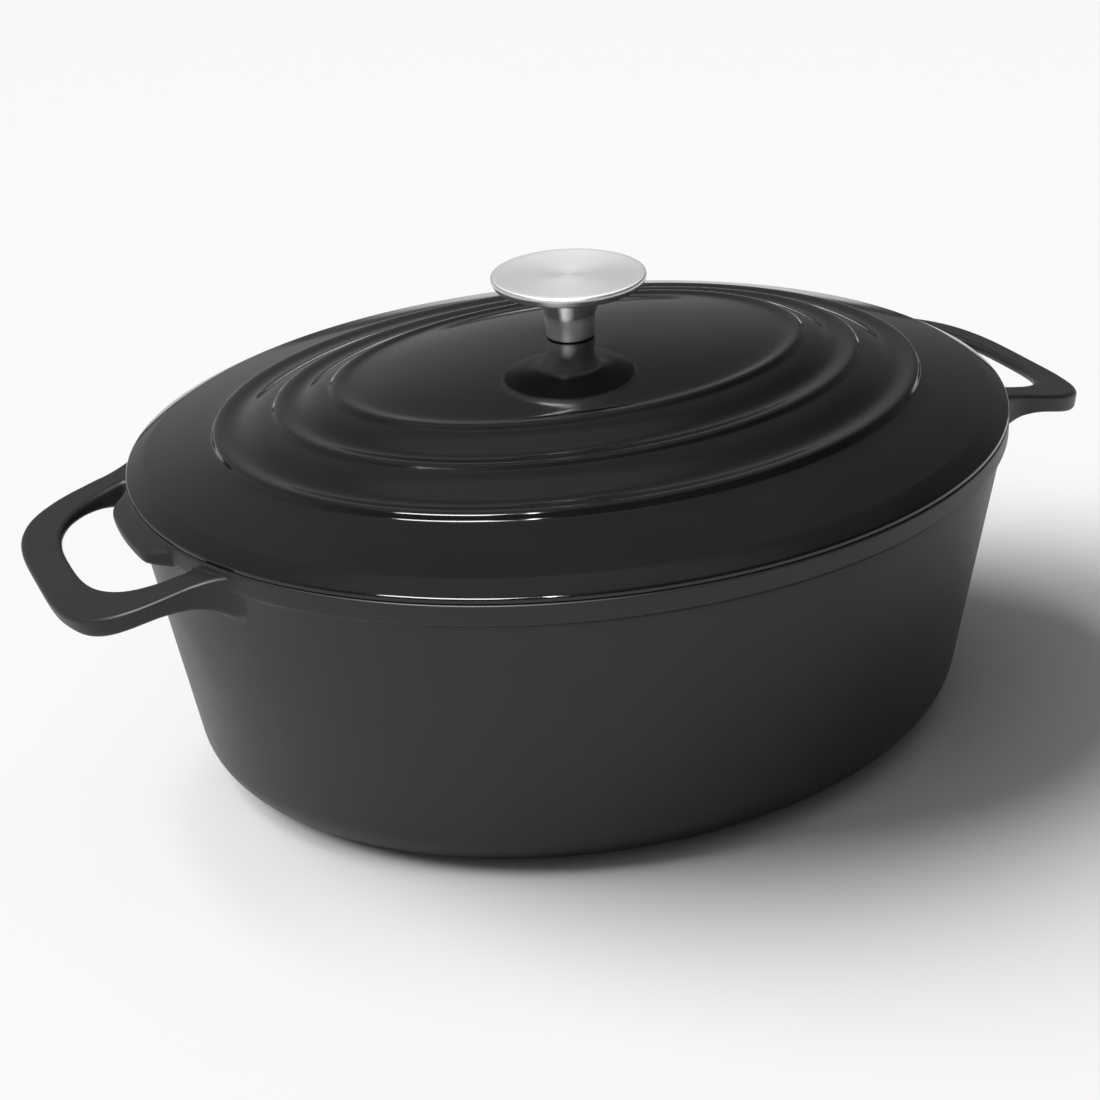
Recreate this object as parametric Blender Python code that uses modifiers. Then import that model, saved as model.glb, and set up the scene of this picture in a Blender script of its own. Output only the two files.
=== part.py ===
"""Oval cast iron dutch oven: a casting with two loop handles, and a stepped lid with a turned knob.

Metres, +Z up. The origin is the middle of the flat base; X runs along the oval, through both handles.
"""

from math import cos, pi, sin, tau

import bmesh
import bpy
from mathutils import Vector

OBJECT_NAME = "oval_dutch_oven"
GAP = 0.0003

# Oval outlines, as half length and half width
LID_OUTLINE = Vector((0.165, 0.1413))
POT_OUTLINE = Vector((0.1652, 0.1414))
OVAL_SEGMENTS = 64

# Pot
POT_HEIGHT = 0.1132
POT_WALL = 0.0036
POT_FLOOR = 0.0046
POT_DRAFT = 0.0183
BASE_CORNER = 0.0155
BAND_HEIGHT = 0.0080
BAND_STEP = 0.0004
RIM_ROUND = 0.0008
CORNER_STEPS = 5

# Loop handles, on a plane that falls away from the pot
HANDLE_CENTRE = 0.1511
HANDLE_OUTER = Vector((0.0524, 0.0523))
HANDLE_INNER = Vector((0.0386, 0.0410))
HANDLE_OUTER_SQUARENESS = 3.5
HANDLE_INNER_SQUARENESS = 3.2
HANDLE_TOP_AT_CENTRE = 0.1112
HANDLE_FALL = 0.251
HANDLE_THICKNESS = 0.0060
HANDLE_SECTION_SQUARENESS = 4.5
HANDLE_SECTION_POINTS = 16
HANDLE_STATIONS = 19
HANDLE_LIP = 0.0018
ROOT_DEPTH = 0.0155
ROOT_FLARE_START = 0.183
ROOT_END = 0.136
LEG_FLARE_START = 0.167
OUTER_FLARE = 0.0060
INNER_FLARE = 0.0025

# Grip tab of the rim, between the legs of each handle
TAB_REACH = 0.1708
TAB_TOP = 0.1102
TAB_HALF_WIDTH = 0.0245
TAB_CORNER = 0.0060
TAB_THICKNESS = 0.0046
TAB_ROOT = 0.138

# Lid
LID_BOTTOM = POT_HEIGHT + GAP
LID_EDGE_ROUND = 0.0009
LID_SHOULDER_HEIGHT = 0.1172
LID_SHOULDER_INSET = 0.0036
LID_WALL = 0.0036
LID_CENTRE_HEIGHT = 0.1470
LID_PAD_RADIUS = 0.0140
# Each step's crest, outermost first: half length, half width, height
LID_STEPS = (
    (0.1322, 0.1035, 0.1279),
    (0.1100, 0.0792, 0.1344),
    (0.0892, 0.0585, 0.1402),
)
STEP_SHOULDER = 0.0022
STEP_VALLEY_INSET = 0.0070
STEP_VALLEY_DEPTH = 0.0010
CENTRE_STATIONS = (0.75, 0.5, 0.3)
SEAT_INSET = 0.0075
RIB_THICKNESS = 0.0036
RIB_DEPTH = 0.0055
RIB_ROUND = 0.0008

# Knob
KNOB_BASE = LID_CENTRE_HEIGHT + GAP
KNOB_TOP = 0.1708
KNOB_RADIUS = 0.0281
KNOB_RIM = 0.0036
KNOB_RIM_STEPS = 6
KNOB_DISH = 0.0006
STEM_FOOT_RADIUS = 0.0087
STEM_TOP_RADIUS = 0.0116
STEM_WAIST = 1.4
STEM_STEPS = 4
NECK_SPREAD = 0.0040
NECK_DROP = 0.0012
NECK_DEPTH = 0.0020
FOOT_ROUND = 0.0004
KNOB_HOLE_RADIUS = 0.0033
KNOB_HOLE_DEPTH = 0.0150
TURNED_SEGMENTS = 48

# Fastener, from below: screw head, spring washer, flat washer, lid
SCREW_RADIUS = 0.0030
SCREW_HOLE_RADIUS = 0.0034
SCREW_ENGAGEMENT = 0.0125
SCREW_HEAD_RADIUS = 0.0060
SCREW_HEAD_HEIGHT = 0.0036
SCREW_TIP_CHAMFER = 0.0006
WASHER_HOLE_RADIUS = 0.0033
FLAT_WASHER_RADIUS = 0.0090
FLAT_WASHER_THICKNESS = 0.0014
SPRING_WASHER_RADIUS = 0.0056
SPRING_WASHER_THICKNESS = 0.0015
SPRING_WASHER_SPLIT = 0.0012
DRIVE_SLOT_LENGTH = 0.0064
DRIVE_SLOT_WIDTH = 0.0012
DRIVE_SLOT_DEPTH = 0.0022


def clear_scene():
    for item in list(bpy.data.objects):
        bpy.data.objects.remove(item, do_unlink=True)


def new_collection(name, hidden):
    group = bpy.data.collections.new(name)
    group.hide_render = hidden
    bpy.context.scene.collection.children.link(group)
    return group


def new_material(name, colour, roughness, metallic):
    material = bpy.data.materials.new(name)
    material.use_nodes = True
    shader = material.node_tree.nodes["Principled BSDF"]
    shader.inputs["Base Color"].default_value = (*colour, 1.0)
    shader.inputs["Roughness"].default_value = roughness
    shader.inputs["Metallic"].default_value = metallic
    return material


def object_from(bm, name, group, material=None):
    mesh = bpy.data.meshes.new(name)
    bmesh.ops.recalc_face_normals(bm, faces=bm.faces)
    bm.to_mesh(mesh)
    bm.free()
    mesh.shade_smooth()
    mesh.set_sharp_from_angle(angle=pi / 6)
    item = bpy.data.objects.new(name, mesh)
    group.objects.link(item)
    if material is None:
        item.hide_render = True
        item.display_type = "WIRE"
    else:
        mesh.materials.append(material)
    return item


def skin(bm, loops):
    """A closed body through successive loops of vertices, with a flat face on its first and last."""
    for lower, upper in zip(loops, loops[1:]):
        count = len(lower)
        for i in range(count):
            j = (i + 1) % count
            bm.faces.new((lower[i], lower[j], upper[j], upper[i]))
    bm.faces.new(loops[0])
    bm.faces.new(loops[-1])


def oval_body(name, sections, group, material=None):
    """A solid through level oval sections, each a half length, a half width and a height."""
    bm = bmesh.new()
    loops = []
    for half_length, half_width, height in sections:
        angles = [tau * i / OVAL_SEGMENTS for i in range(OVAL_SEGMENTS)]
        loops.append(
            [bm.verts.new((half_length * cos(t), half_width * sin(t), height)) for t in angles]
        )
    skin(bm, loops)
    return object_from(bm, name, group, material)


def cylinder(name, radius, bottom, top, group, material=None, segments=32):
    bm = bmesh.new()
    bmesh.ops.create_cone(
        bm, cap_ends=True, segments=segments, radius1=radius, radius2=radius, depth=top - bottom
    )
    bmesh.ops.translate(bm, verts=bm.verts, vec=(0, 0, (bottom + top) / 2))
    return object_from(bm, name, group, material)


def block(name, size, centre, group):
    bm = bmesh.new()
    bmesh.ops.create_cube(bm, size=1.0)
    bmesh.ops.scale(bm, verts=bm.verts, vec=size)
    bmesh.ops.translate(bm, verts=bm.verts, vec=centre)
    return object_from(bm, name, group)


def turned(name, profile, group, material):
    """A solid of revolution about Z, from a profile of radius and height that runs top to bottom."""
    bm = bmesh.new()
    points = [bm.verts.new((radius, 0, height)) for radius, height in profile]
    for upper, lower in zip(points, points[1:]):
        bm.edges.new((upper, lower))
    mesh = bpy.data.meshes.new(name)
    bm.to_mesh(mesh)
    bm.free()
    mesh.materials.append(material)
    item = bpy.data.objects.new(name, mesh)
    group.objects.link(item)
    screw = item.modifiers.new("turn", "SCREW")
    screw.steps = TURNED_SEGMENTS
    screw.render_steps = TURNED_SEGMENTS
    screw.use_merge_vertices = True
    screw.merge_threshold = 0.00001
    screw.use_smooth_shade = True
    return item


def boolean(item, other, operation):
    modifier = item.modifiers.new(f"{operation.lower()}_{other.name}", "BOOLEAN")
    modifier.operation = operation
    modifier.solver = "EXACT"
    modifier.object = other


def superellipse(size, squareness, angle):
    x = size[0] * abs(cos(angle)) ** (2 / squareness)
    y = size[1] * abs(sin(angle)) ** (2 / squareness)
    return Vector((x if cos(angle) >= 0 else -x, y if sin(angle) >= 0 else -y))


# Pot


def wall_inset(height):
    """How far the tapered wall has drawn in from the rim outline at this height."""
    return BAND_STEP + POT_DRAFT * (1 - height / POT_HEIGHT)


def pot_outer_sections():
    """Base corner, tapered wall, band and rim of the outside."""
    sections = []
    for i in range(CORNER_STEPS + 1):
        turn = pi / 2 * i / CORNER_STEPS
        height = BASE_CORNER * (1 - cos(turn))
        inset = wall_inset(height) + BASE_CORNER * (1 - sin(turn))
        sections.append((inset, height))
    band_bottom = POT_HEIGHT - BAND_HEIGHT
    sections.append((wall_inset(POT_HEIGHT / 2), POT_HEIGHT / 2))
    sections.append((wall_inset(band_bottom), band_bottom - BAND_STEP))
    sections.append((BAND_STEP * 0.3, band_bottom + BAND_STEP * 0.5))
    sections.append((0, POT_HEIGHT - RIM_ROUND))
    sections.append((RIM_ROUND, POT_HEIGHT))
    return [(POT_OUTLINE[0] - d, POT_OUTLINE[1] - d, z) for d, z in sections]


def pot_inner_sections():
    """The cavity, running out past the rim."""
    corner = BASE_CORNER - POT_WALL
    sections = []
    for i in range(CORNER_STEPS + 1):
        turn = pi / 2 * i / CORNER_STEPS
        height = POT_FLOOR + corner * (1 - cos(turn))
        sections.append((wall_inset(height) + POT_WALL + corner * (1 - sin(turn)), height))
    sections.append((wall_inset(POT_HEIGHT / 2) + POT_WALL, POT_HEIGHT / 2))
    rim_inset = wall_inset(POT_HEIGHT) + POT_WALL
    sections.append((rim_inset, POT_HEIGHT - RIM_ROUND))
    sections.append((rim_inset - RIM_ROUND, POT_HEIGHT))
    sections.append((rim_inset - RIM_ROUND, POT_HEIGHT + BASE_CORNER))
    return [(POT_OUTLINE[0] - d, POT_OUTLINE[1] - d, z) for d, z in sections]


def handle_top(reach):
    """Height of the handle's upper face at this distance from the oval's middle."""
    return HANDLE_TOP_AT_CENTRE - HANDLE_FALL * (reach - HANDLE_CENTRE)


def handle_depth(reach):
    """Thickness of the bar, which deepens in a curve towards the wall."""
    towards_root = max(0.0, (ROOT_FLARE_START - reach) / (ROOT_FLARE_START - HANDLE_CENTRE))
    return HANDLE_THICKNESS + (ROOT_DEPTH - HANDLE_THICKNESS) * min(towards_root, 1.0) ** 2


def leg_flare(reach, across):
    """Sideways spread of a leg near the wall, where across runs from -1 on its inner side to 1."""
    towards_root = max(0.0, (LEG_FLARE_START - reach) / (LEG_FLARE_START - HANDLE_CENTRE))
    most = OUTER_FLARE if across > 0 else INNER_FLARE
    return most * across * min(towards_root, 1.0) ** 2


def handle_plan():
    """Pairs of outer and inner plan points, from one root round the loop to the other."""
    pairs = []
    for i in range(HANDLE_STATIONS):
        angle = pi * i / (HANDLE_STATIONS - 1) - pi / 2
        outer = superellipse(HANDLE_OUTER, HANDLE_OUTER_SQUARENESS, angle)
        inner = superellipse(HANDLE_INNER, HANDLE_INNER_SQUARENESS, angle)
        pairs.append((outer, inner))
    root = ROOT_END - HANDLE_CENTRE
    side = Vector((root, HANDLE_OUTER[1])), Vector((root, HANDLE_INNER[1]))
    pairs.append(side)
    pairs.insert(0, tuple(Vector((point[0], -point[1])) for point in side))
    return pairs


def handle_section(bm, outer, inner):
    """One loop of the handle's rounded section, which hangs lower on its outer side."""
    middle = (outer + inner) / 2
    across = (outer - inner) / 2
    loop = []
    for i in range(HANDLE_SECTION_POINTS):
        corner = superellipse((1, 1), HANDLE_SECTION_SQUARENESS, tau * i / HANDLE_SECTION_POINTS)
        place = middle + across * corner[0]
        reach = HANDLE_CENTRE + place[0]
        spread = leg_flare(reach, corner[0]) * (1 if middle[1] > 0 else -1)
        depth = handle_depth(reach) + HANDLE_LIP * corner[0]
        height = handle_top(reach) - depth * (1 - corner[1]) / 2
        loop.append(bm.verts.new((reach, place[1] + spread, height)))
    return loop


def handle(side, group):
    """A closed loop casting, whose legs run on into the pot."""
    bm = bmesh.new()
    skin(bm, [handle_section(bm, outer, inner) for outer, inner in handle_plan()])
    bmesh.ops.scale(bm, verts=bm.verts, vec=(side, 1, 1))
    return object_from(bm, "handle_right" if side > 0 else "handle_left", group)


def tab_outline():
    """Plan of the tab: straight sides from inside the wall to a front edge with round corners."""
    points = [(TAB_ROOT, -TAB_HALF_WIDTH)]
    for end in (-1, 1):
        for i in range(CORNER_STEPS):
            turn = pi / 2 * (i / (CORNER_STEPS - 1) if end > 0 else i / (CORNER_STEPS - 1) - 1)
            x = TAB_REACH - TAB_CORNER + TAB_CORNER * cos(turn)
            y = end * (TAB_HALF_WIDTH - TAB_CORNER) + TAB_CORNER * sin(turn)
            points.append((x, y))
    points.append((TAB_ROOT, TAB_HALF_WIDTH))
    return points


def tab(side, group):
    bm = bmesh.new()
    loops = []
    for height in (TAB_TOP - TAB_THICKNESS, TAB_TOP):
        loops.append([bm.verts.new((side * x, y, height)) for x, y in tab_outline()])
    skin(bm, loops)
    return object_from(bm, "tab_right" if side > 0 else "tab_left", group)


def make_pot(parts, cutters, enamel):
    """The outside with its handles and tabs cast on, then the cavity taken out of all of it."""
    pot = oval_body("pot_body", pot_outer_sections(), parts, enamel)
    for side in (-1, 1):
        boolean(pot, handle(side, cutters), "UNION")
        boolean(pot, tab(side, cutters), "UNION")
    boolean(pot, oval_body("cavity", pot_inner_sections(), cutters), "DIFFERENCE")
    return pot


# Lid


def lid_section(half_length, height):
    """A lid section: its half width follows the steps' outlines, and turns round at the knob."""
    stops = [(LID_PAD_RADIUS, LID_PAD_RADIUS)]
    stops += [(length, width) for length, width, _ in reversed(LID_STEPS)]
    stops.append((LID_OUTLINE[0], LID_OUTLINE[1]))
    for (inner, inner_width), (outer, outer_width) in zip(stops, stops[1:]):
        if half_length <= outer:
            share = (half_length - inner) / (outer - inner)
            return (half_length, inner_width + share * (outer_width - inner_width), height)
    return (half_length, stops[-1][1], height)


def lid_top_line():
    """Half length and height along the upper face, from the rim's edge to the knob's pad."""
    length = LID_OUTLINE[0]
    line = [
        (length - LID_EDGE_ROUND, LID_BOTTOM),
        (length, LID_BOTTOM + LID_EDGE_ROUND),
        (length - LID_SHOULDER_INSET / 4, (LID_BOTTOM + LID_SHOULDER_HEIGHT) / 2),
        (length - LID_SHOULDER_INSET, LID_SHOULDER_HEIGHT),
    ]
    for crest, _, height in LID_STEPS:
        foot = (crest + 2 * STEP_SHOULDER, height - STEP_SHOULDER)
        line.append(((line[-1][0] + foot[0]) / 2, (line[-1][1] + foot[1]) / 2))
        line.append(foot)
        line.append((crest + STEP_SHOULDER / 2, height - STEP_SHOULDER / 8))
        line.append((crest - STEP_SHOULDER / 2, height - STEP_SHOULDER / 8))
        line.append((crest - STEP_VALLEY_INSET, height - STEP_VALLEY_DEPTH))
    valley_length, valley_height = line[-1]
    for share in CENTRE_STATIONS:
        height = LID_CENTRE_HEIGHT - (LID_CENTRE_HEIGHT - valley_height) * share**2
        line.append((valley_length * share, height))
    line.append((LID_PAD_RADIUS, LID_CENTRE_HEIGHT))
    return line


def lid_under_line():
    """Half length and height along the lower face, from the knob's pad out to the seat."""
    rib_outer = LID_OUTLINE[0] - SEAT_INSET
    rib_inner = rib_outer - RIB_THICKNESS
    rib_bottom = LID_BOTTOM - RIB_DEPTH
    line = [(LID_PAD_RADIUS, LID_CENTRE_HEIGHT - LID_WALL)]
    for half_length, height in reversed(lid_top_line()[:-1]):
        if half_length < rib_inner - LID_WALL:
            line.append((half_length - LID_WALL / 3, height - LID_WALL))
    line += [
        (rib_inner - LID_WALL / 2, LID_BOTTOM + LID_WALL / 4),
        (rib_inner, rib_bottom + RIB_ROUND),
        (rib_inner + RIB_ROUND, rib_bottom),
        (rib_outer - RIB_ROUND, rib_bottom),
        (rib_outer, rib_bottom + RIB_ROUND),
        (rib_outer, LID_BOTTOM),
    ]
    return line


def make_lid(parts, cutters, enamel):
    """A stepped dome that sits on the rim, with a rib inside it that keeps it centred."""
    line = lid_under_line() + lid_top_line()
    lid = oval_body("lid", [lid_section(*point) for point in line], parts, enamel)
    hole = cylinder(
        "screw_hole",
        SCREW_HOLE_RADIUS,
        LID_CENTRE_HEIGHT - 3 * LID_WALL,
        LID_CENTRE_HEIGHT + LID_WALL,
        cutters,
    )
    boolean(lid, hole, "DIFFERENCE")
    return lid


# Knob and its fastener


def knob_profile():
    """Radius and height, down the outside from the disc's middle, then up into the screw hole."""
    rim = KNOB_RIM / 2
    profile = [(0, KNOB_TOP - KNOB_DISH), (KNOB_RADIUS / 2, KNOB_TOP - KNOB_DISH * 0.75)]
    for i in range(KNOB_RIM_STEPS + 1):
        turn = pi * i / KNOB_RIM_STEPS
        profile.append((KNOB_RADIUS - rim + rim * sin(turn), KNOB_TOP - rim + rim * cos(turn)))
    neck = KNOB_TOP - KNOB_RIM - NECK_DROP
    profile.append((STEM_TOP_RADIUS + NECK_SPREAD, neck))
    stem_height = neck - NECK_DEPTH - KNOB_BASE - FOOT_ROUND
    for i in range(STEM_STEPS + 1):
        rise = 1 - i / STEM_STEPS
        radius = STEM_FOOT_RADIUS + (STEM_TOP_RADIUS - STEM_FOOT_RADIUS) * rise**STEM_WAIST
        profile.append((radius, KNOB_BASE + FOOT_ROUND + stem_height * rise))
    profile += [
        (STEM_FOOT_RADIUS - FOOT_ROUND, KNOB_BASE),
        (KNOB_HOLE_RADIUS, KNOB_BASE),
        (KNOB_HOLE_RADIUS, KNOB_BASE + KNOB_HOLE_DEPTH),
        (0, KNOB_BASE + KNOB_HOLE_DEPTH),
    ]
    return profile


def make_knob(parts, steel):
    """A slightly dished disc on a waisted stem, with a blind screw hole in its foot."""
    return turned("knob", knob_profile(), parts, steel)


def make_screw(parts, cutters, steel):
    """A pan head screw with a cross drive, pointing up into the knob."""
    under_lid = LID_CENTRE_HEIGHT - LID_WALL
    seat = under_lid - 3 * GAP - FLAT_WASHER_THICKNESS - SPRING_WASHER_THICKNESS
    head_bottom = seat - SCREW_HEAD_HEIGHT
    tip = KNOB_BASE + SCREW_ENGAGEMENT
    profile = [
        (0, tip),
        (SCREW_RADIUS - SCREW_TIP_CHAMFER, tip),
        (SCREW_RADIUS, tip - SCREW_TIP_CHAMFER),
        (SCREW_RADIUS, seat),
        (SCREW_HEAD_RADIUS, seat),
        (SCREW_HEAD_RADIUS, seat - SCREW_HEAD_HEIGHT * 0.45),
        (SCREW_HEAD_RADIUS * 0.85, seat - SCREW_HEAD_HEIGHT * 0.8),
        (SCREW_HEAD_RADIUS * 0.5, head_bottom),
        (0, head_bottom),
    ]
    screw = turned("knob_screw", profile, parts, steel)
    for name, size in (
        ("drive_slot_x", (DRIVE_SLOT_LENGTH, DRIVE_SLOT_WIDTH, 2 * DRIVE_SLOT_DEPTH)),
        ("drive_slot_y", (DRIVE_SLOT_WIDTH, DRIVE_SLOT_LENGTH, 2 * DRIVE_SLOT_DEPTH)),
    ):
        boolean(screw, block(name, size, (0, 0, head_bottom), cutters), "DIFFERENCE")
    return screw


def make_washers(parts, cutters, steel):
    """A flat washer against the lid, and a split spring washer below it."""
    flat_top = LID_CENTRE_HEIGHT - LID_WALL - GAP
    spring_top = flat_top - FLAT_WASHER_THICKNESS - GAP
    rings = (
        ("flat_washer", FLAT_WASHER_RADIUS, flat_top, FLAT_WASHER_THICKNESS),
        ("spring_washer", SPRING_WASHER_RADIUS, spring_top, SPRING_WASHER_THICKNESS),
    )
    made = []
    for name, radius, top, thickness in rings:
        ring = cylinder(name, radius, top - thickness, top, parts, steel, TURNED_SEGMENTS)
        bore = cylinder(
            f"{name}_bore", WASHER_HOLE_RADIUS, top - 2 * thickness, top + thickness, cutters
        )
        boolean(ring, bore, "DIFFERENCE")
        made.append(ring)
    size = (2 * SPRING_WASHER_RADIUS, SPRING_WASHER_SPLIT, 3 * SPRING_WASHER_THICKNESS)
    middle = (SPRING_WASHER_RADIUS, 0, spring_top - SPRING_WASHER_THICKNESS / 2)
    boolean(made[1], block("spring_washer_split", size, middle, cutters), "DIFFERENCE")
    return made


def main():
    clear_scene()
    parts = new_collection(OBJECT_NAME, hidden=False)
    cutters = new_collection("cutters", hidden=True)
    enamel = new_material("black_enamel", (0.020, 0.020, 0.021), 0.28, 0.0)
    lid_enamel = new_material("black_enamel_lid", (0.014, 0.014, 0.014), 0.14, 0.0)
    knob_steel = new_material("brushed_steel_knob", (0.62, 0.61, 0.60), 0.30, 1.0)
    fastener_steel = new_material("fastener_steel", (0.50, 0.50, 0.50), 0.35, 1.0)
    make_pot(parts, cutters, enamel)
    lid = make_lid(parts, cutters, lid_enamel)
    on_lid = [make_knob(parts, knob_steel)]
    on_lid.append(make_screw(parts, cutters, fastener_steel))
    on_lid += make_washers(parts, cutters, fastener_steel)
    for item in on_lid:
        item.parent = lid


main()
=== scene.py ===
"""Looks of the oval cast iron dutch oven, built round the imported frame.

Metres, +Z up, in the frame's own axes: X runs along the oval and through both handles.
"""

from math import acos, asin, cos, pi, radians, sin, sqrt, tau

import bmesh
import bpy
import numpy as np
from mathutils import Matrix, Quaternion, Vector


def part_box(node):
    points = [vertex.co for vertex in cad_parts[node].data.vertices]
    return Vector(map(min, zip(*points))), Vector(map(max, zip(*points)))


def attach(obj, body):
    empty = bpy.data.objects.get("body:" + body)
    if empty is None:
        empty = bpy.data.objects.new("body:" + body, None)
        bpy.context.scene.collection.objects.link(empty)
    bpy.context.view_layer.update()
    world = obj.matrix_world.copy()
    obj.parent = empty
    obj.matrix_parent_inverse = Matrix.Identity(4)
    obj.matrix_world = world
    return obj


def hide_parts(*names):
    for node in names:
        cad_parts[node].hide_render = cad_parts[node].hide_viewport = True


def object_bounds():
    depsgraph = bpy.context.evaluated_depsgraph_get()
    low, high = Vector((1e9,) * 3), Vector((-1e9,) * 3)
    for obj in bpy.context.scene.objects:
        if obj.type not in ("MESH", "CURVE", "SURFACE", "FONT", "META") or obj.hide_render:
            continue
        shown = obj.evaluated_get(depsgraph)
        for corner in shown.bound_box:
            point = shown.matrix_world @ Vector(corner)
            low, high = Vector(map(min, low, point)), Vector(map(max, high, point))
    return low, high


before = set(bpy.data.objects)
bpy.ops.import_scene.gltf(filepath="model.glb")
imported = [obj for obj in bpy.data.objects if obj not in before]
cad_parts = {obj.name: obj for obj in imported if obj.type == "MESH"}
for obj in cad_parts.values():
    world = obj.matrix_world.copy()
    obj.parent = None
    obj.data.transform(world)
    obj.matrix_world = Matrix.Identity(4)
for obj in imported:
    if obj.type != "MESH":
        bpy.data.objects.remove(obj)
CAD_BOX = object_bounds()

POT_LOW, POT_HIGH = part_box("pot_body")
LID_LOW, LID_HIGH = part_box("lid")
KNOB_LOW, KNOB_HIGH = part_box("knob")
SCREW_LOW, SCREW_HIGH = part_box("knob_screw")
FLAT_LOW, FLAT_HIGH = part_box("flat_washer")
SPRING_LOW, SPRING_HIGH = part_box("spring_washer")
GAP = 0.0003
MM = 0.001

# Oval outlines, as half length and half width
LID_OUTLINE = np.array((LID_HIGH.x, LID_HIGH.y))
POT_OUTLINE = np.array((LID_HIGH.x + 0.2 * MM, POT_HIGH.y))
OVAL_SEGMENTS = 320

# Pot
POT_HEIGHT = POT_HIGH.z
POT_WALL = 3.6 * MM
POT_FLOOR = 4.6 * MM
POT_DRAFT = 18.3 * MM
BASE_CORNER = 15.5 * MM
BAND_HEIGHT = 8.0 * MM
BAND_STEP = 0.4 * MM
RIM_ROUND = 0.8 * MM
FLOOR_ROUND = 11.9 * MM
FOOT_INSET = 5.0 * MM
FOOT_HOLLOW = 0.5 * MM
FOOT_ROUND = 3.0 * MM
CORNER_STEPS = 16

# Loop handles, on a plane that falls away from the pot. Extra depth is added outside at the
# corners and inside at the roots, and some is taken off inside at the far end.
HANDLE_CENTRE = 151.1 * MM
HANDLE_OUTER = np.array((POT_HIGH.x - HANDLE_CENTRE - 0.3 * MM, 52.0 * MM))
HANDLE_INNER = np.array((39.0 * MM, 40.9 * MM))
OUTER_SQUARENESS = 3.8
INNER_SQUARENESS = 2.95
HANDLE_TOP_AT_CENTRE = 111.2 * MM
HANDLE_FALL = 0.251
HANDLE_THICKNESS = 6.0 * MM
ROOT_TOP = 111.8 * MM
ROOT_EASE = 0.5 * MM
HANDLE_LIP = 1.0 * MM
LEG_UNDERCUT = 0.2 * MM
END_UNDERCUT = 2.2 * MM
CORNER_EXTRA = 1.2 * MM
ROOT_EXTRA = 3.0 * MM
END_LESS = 1.2 * MM
ROOT_DEPTH = 15.0 * MM
ROOT_FLARE_START = 188.0 * MM
ROOT_FLARE_POWER = 3.6
OUTER_FILLET = 27.0 * MM
INNER_FILLET = 3.5 * MM
FILLET_SINK = 0.6 * MM
WALL_PULL_REACH = 9.0 * MM
SECTION_RADII = (1.3 * MM, 2.4 * MM, 2.0 * MM, 2.0 * MM)
SECTION_POINTS = 48
LOOP_STATIONS = 56
FILLET_STATIONS = 22

# Grip tab between the legs of each handle
TAB_REACH = 171.0 * MM
TAB_BOW = 1.6 * MM
TAB_HALF_WIDTH = 21.5 * MM
TAB_ROOT_HALF_WIDTH = 31.0 * MM
TAB_FLARE = 0.86
TAB_CORNER = 1.0 * MM
TAB_STATIONS = 90

# Lid
LID_BOTTOM = POT_HEIGHT + GAP
LID_CENTRE_HEIGHT = KNOB_LOW.z - GAP
LID_PAD_RADIUS = 14.0 * MM
LID_WALL = 3.6 * MM
# Each step's crest, outermost first: half length, half width, height
LID_STEPS = (
    (132.2 * MM, 103.5 * MM, 127.9 * MM),
    (110.0 * MM, 79.2 * MM, 134.4 * MM),
    (89.2 * MM, 58.5 * MM, 140.2 * MM),
)
# Each step's riser: its height and slope, and how far the slope below it bulges
LID_RISERS = ((2.4 * MM, 2.2, 0.15 * MM), (1.4 * MM, 1.05, 0.4 * MM), (1.3 * MM, 0.8, 0.4 * MM))
LID_EDGE_HEIGHT = 1.9 * MM
LID_SHOULDER = (6.6 * MM, 5.5 * MM)
SEAT_INSET = 7.5 * MM
RIB_THICKNESS = 3.6 * MM
SCREW_HOLE_RADIUS = 3.4 * MM
# The underside follows every eighth point of the upper face
UNDER_STRIDE = 8

# Knob and fastener
KNOB_HOLE_RADIUS = 3.3 * MM
KNOB_HOLE_DEPTH = 15.0 * MM
STEM_FOOT_RADIUS = 8.7 * MM
STEM_TOP_RADIUS = 11.6 * MM
KNOB_RIM = 4.0 * MM
KNOB_DISH = 0.6 * MM
TURNED_SEGMENTS = 160
SCREW_RADIUS = 3.0 * MM
SCREW_SEGMENTS = 64
THREAD_PITCH = 1.0 * MM
THREAD_DEPTH = 0.5 * MM
# The cross recess: height over the head's face, and half length and half width there, in mm
RECESS_CUTS = ((-0.5, 3.1, 0.62), (2.2, 1.3, 0.42))
WASHER_HOLE = 3.3 * MM
WASHER_SEGMENTS = 96
SPRING_STATIONS = 80

# Camera, at the photograph's viewing angle
CAMERA_DIRECTION = (-24.404, 26.169)
CAMERA_DISTANCE = 0.8398
CAMERA_TARGET = Vector((0, 0, 0.05775))
CAMERA_YAW = radians(0.7471)
CAMERA_PITCH = radians(0.1857)
CAMERA_ROLL = radians(2.1994)
CAMERA_LENS = 72.30
CAMERA_SENSOR = 36.0

# Light. Tones of the surroundings by direction, along X and along Z, and of the floor by distance
WORLD_ACROSS = ((-1, 0.36), (0, 0.33), (0.3, 0.27), (0.5, 0.20), (0.68, 0.10), (1, 0.05))
WORLD_ABOVE = ((-1, 0.08), (0.35, 0.09), (0.62, 0.01), (0.84, 0), (0.92, 0.2), (1, 0.22))
WORLD_DEPTH = ((-1, 0.35), (-0.3, 0.45), (0.15, 1), (1, 1))
# The floor's colour is pale out to 1.5 m and then painted nearly black: painted shade, standing in for
# far floor that no light reaches.
FLOOR_TONES = ((0, 0.82), (1.5, 0.81), (1.75, 0.10), (4, 0.03))
FLOOR_HALF_SIZE = 6.0
FLOOR_DROP = 0.1 * MM
WINDOW_DIRECTION = (-124, 45)
WINDOW_SOFTNESS = 49
WINDOW_POWER = 4.1
# Accent lights: size, direction, distance and power
SOFTBOX = ((1.0, 0.9), (-48, 48), 2.2, 85)
STRIP = ((0.06, 0.9), (-19, 48), 2.2, 12)
KNOB_FILL = ((1.6, 1.6), (155, 62), 1.2, 10)


# Curves


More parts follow.
